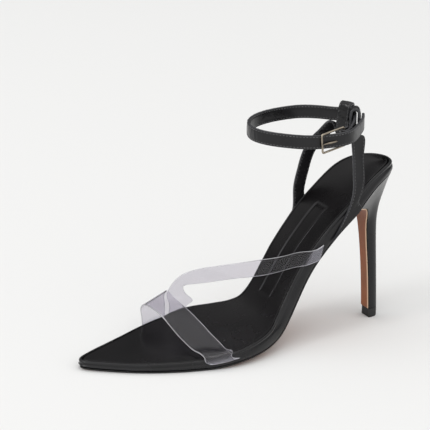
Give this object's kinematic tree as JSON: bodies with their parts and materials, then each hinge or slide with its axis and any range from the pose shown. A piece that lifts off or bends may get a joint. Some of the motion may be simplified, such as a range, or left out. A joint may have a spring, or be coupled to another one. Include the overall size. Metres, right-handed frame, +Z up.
{
  "type": "heeled strappy sandal",
  "caption": "Left pointed-toe sandal with a slim high covered heel, clear bands over the toes and instep, and a black ankle strap that closes with a small buckle.",
  "frame": {"origin": "centre of the heel tip's underside, on the floor", "axes": "+X towards the toe, +Y towards the outer side of the left foot, +Z up from the floor"},
  "size_m": [0.2194, 0.0853, 0.1495],
  "materials": {
    "black_leather": "smooth, with a soft shine",
    "sock_leather": "smooth, matt",
    "tan_leather": "smooth, satin",
    "clear_plastic": "clear and glossy",
    "black_rubber": "matt",
    "buckle_metal": "polished, darkened"
  },
  "bodies": {
    "root": {"outsole": "tan_leather", "footbed": "black_leather", "insole": "sock_leather", "heel": "black_leather", "heel_breast": "tan_leather", "heel_tip": "black_rubber", "toe_strap": "clear_plastic", "arch_strap": "clear_plastic", "side_strap_outer": "black_leather", "side_strap_inner": "black_leather", "ankle_strap": "black_leather", "buckle_frame": "buckle_metal", "buckle_prong": "buckle_metal"}
  },
  "joints": []
}
